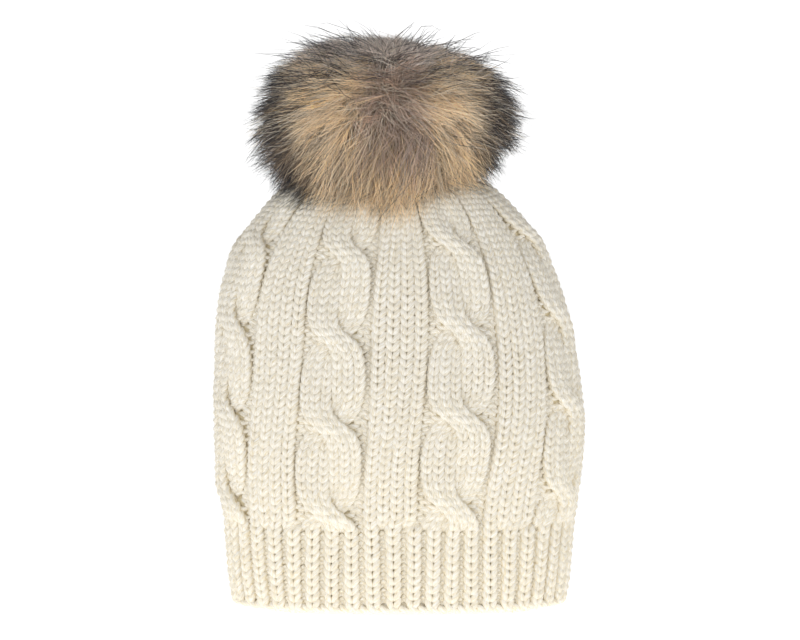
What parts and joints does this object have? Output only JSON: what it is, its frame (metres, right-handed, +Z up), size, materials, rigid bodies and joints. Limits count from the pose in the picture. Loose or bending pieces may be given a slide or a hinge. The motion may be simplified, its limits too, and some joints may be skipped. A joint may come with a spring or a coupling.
{
  "type": "pom pom beanie",
  "caption": "Cable-knit beanie with a ribbed brim, standing open on its brim, and a large fur pom pom that snaps onto the crown.",
  "frame": {"origin": "middle of the brim's bottom edge, on the surface that the hat stands on", "axes": "+Z up to the crown and pom pom, -Y is the front, the back seam is at +Y, +X across the width"},
  "size_m": [0.2224, 0.1542, 0.343],
  "materials": {
    "cream_yarn": "matte soft knitting yarn",
    "label_satin": "woven satin ribbon",
    "cream_felt": "dense felt",
    "snap_metal": "nickel-plated press stud",
    "sewing_thread": "twisted thread",
    "pelt_leather": "tanned skin side",
    "fibre_filling": "loose fibre",
    "raccoon_fur": "long soft fur with dark tips"
  },
  "bodies": {
    "hat": {"ribbed_brim": "cream_yarn", "cable_knit_body": "cream_yarn", "back_seam": "cream_yarn", "care_label": "label_satin", "crown_draw_yarn": "cream_yarn", "crown_backing_disc": "cream_felt", "snap_stud": "snap_metal", "snap_stud_stitches": "sewing_thread"},
    "snap_ring": {"snap_ring_spring": "snap_metal"},
    "snap_cap": {"snap_socket": "snap_metal", "snap_socket_stitches": "sewing_thread"},
    "shank": {"pom_shank": "sewing_thread"},
    "pom": {"pom_base_disc": "cream_felt", "pom_gather_thread": "sewing_thread", "pom_pelt": "pelt_leather", "pom_filling": "fibre_filling", "pom_fur": "raccoon_fur", "pom_fur_skirt": "raccoon_fur"}
  },
  "joints": [
    {"name": "pom_pull_off", "type": "slide", "parent": "hat", "child": "snap_ring", "axis": [0, 0, 1], "range_m": [0, 0.03]},
    {"name": "pom_spin", "type": "hinge", "parent": "snap_ring", "child": "snap_cap", "pos_m": [0, 0, 0.2628], "axis": [0, 0, 1], "continuous": true},
    {"name": "pom_tip_front_back", "type": "hinge", "parent": "snap_cap", "child": "shank", "pos_m": [0, 0, 0.26855], "axis": [1, 0, 0], "range_deg": [-10, 10], "stiffness_Nm_per_rad": 0.15, "deforming": ["pom_fur_skirt"]},
    {"name": "pom_tip_sideways", "type": "hinge", "parent": "shank", "child": "pom", "pos_m": [0, 0, 0.27095], "axis": [0, 1, 0], "range_deg": [-10, 10], "stiffness_Nm_per_rad": 0.15, "deforming": ["pom_fur_skirt"]}
  ]
}
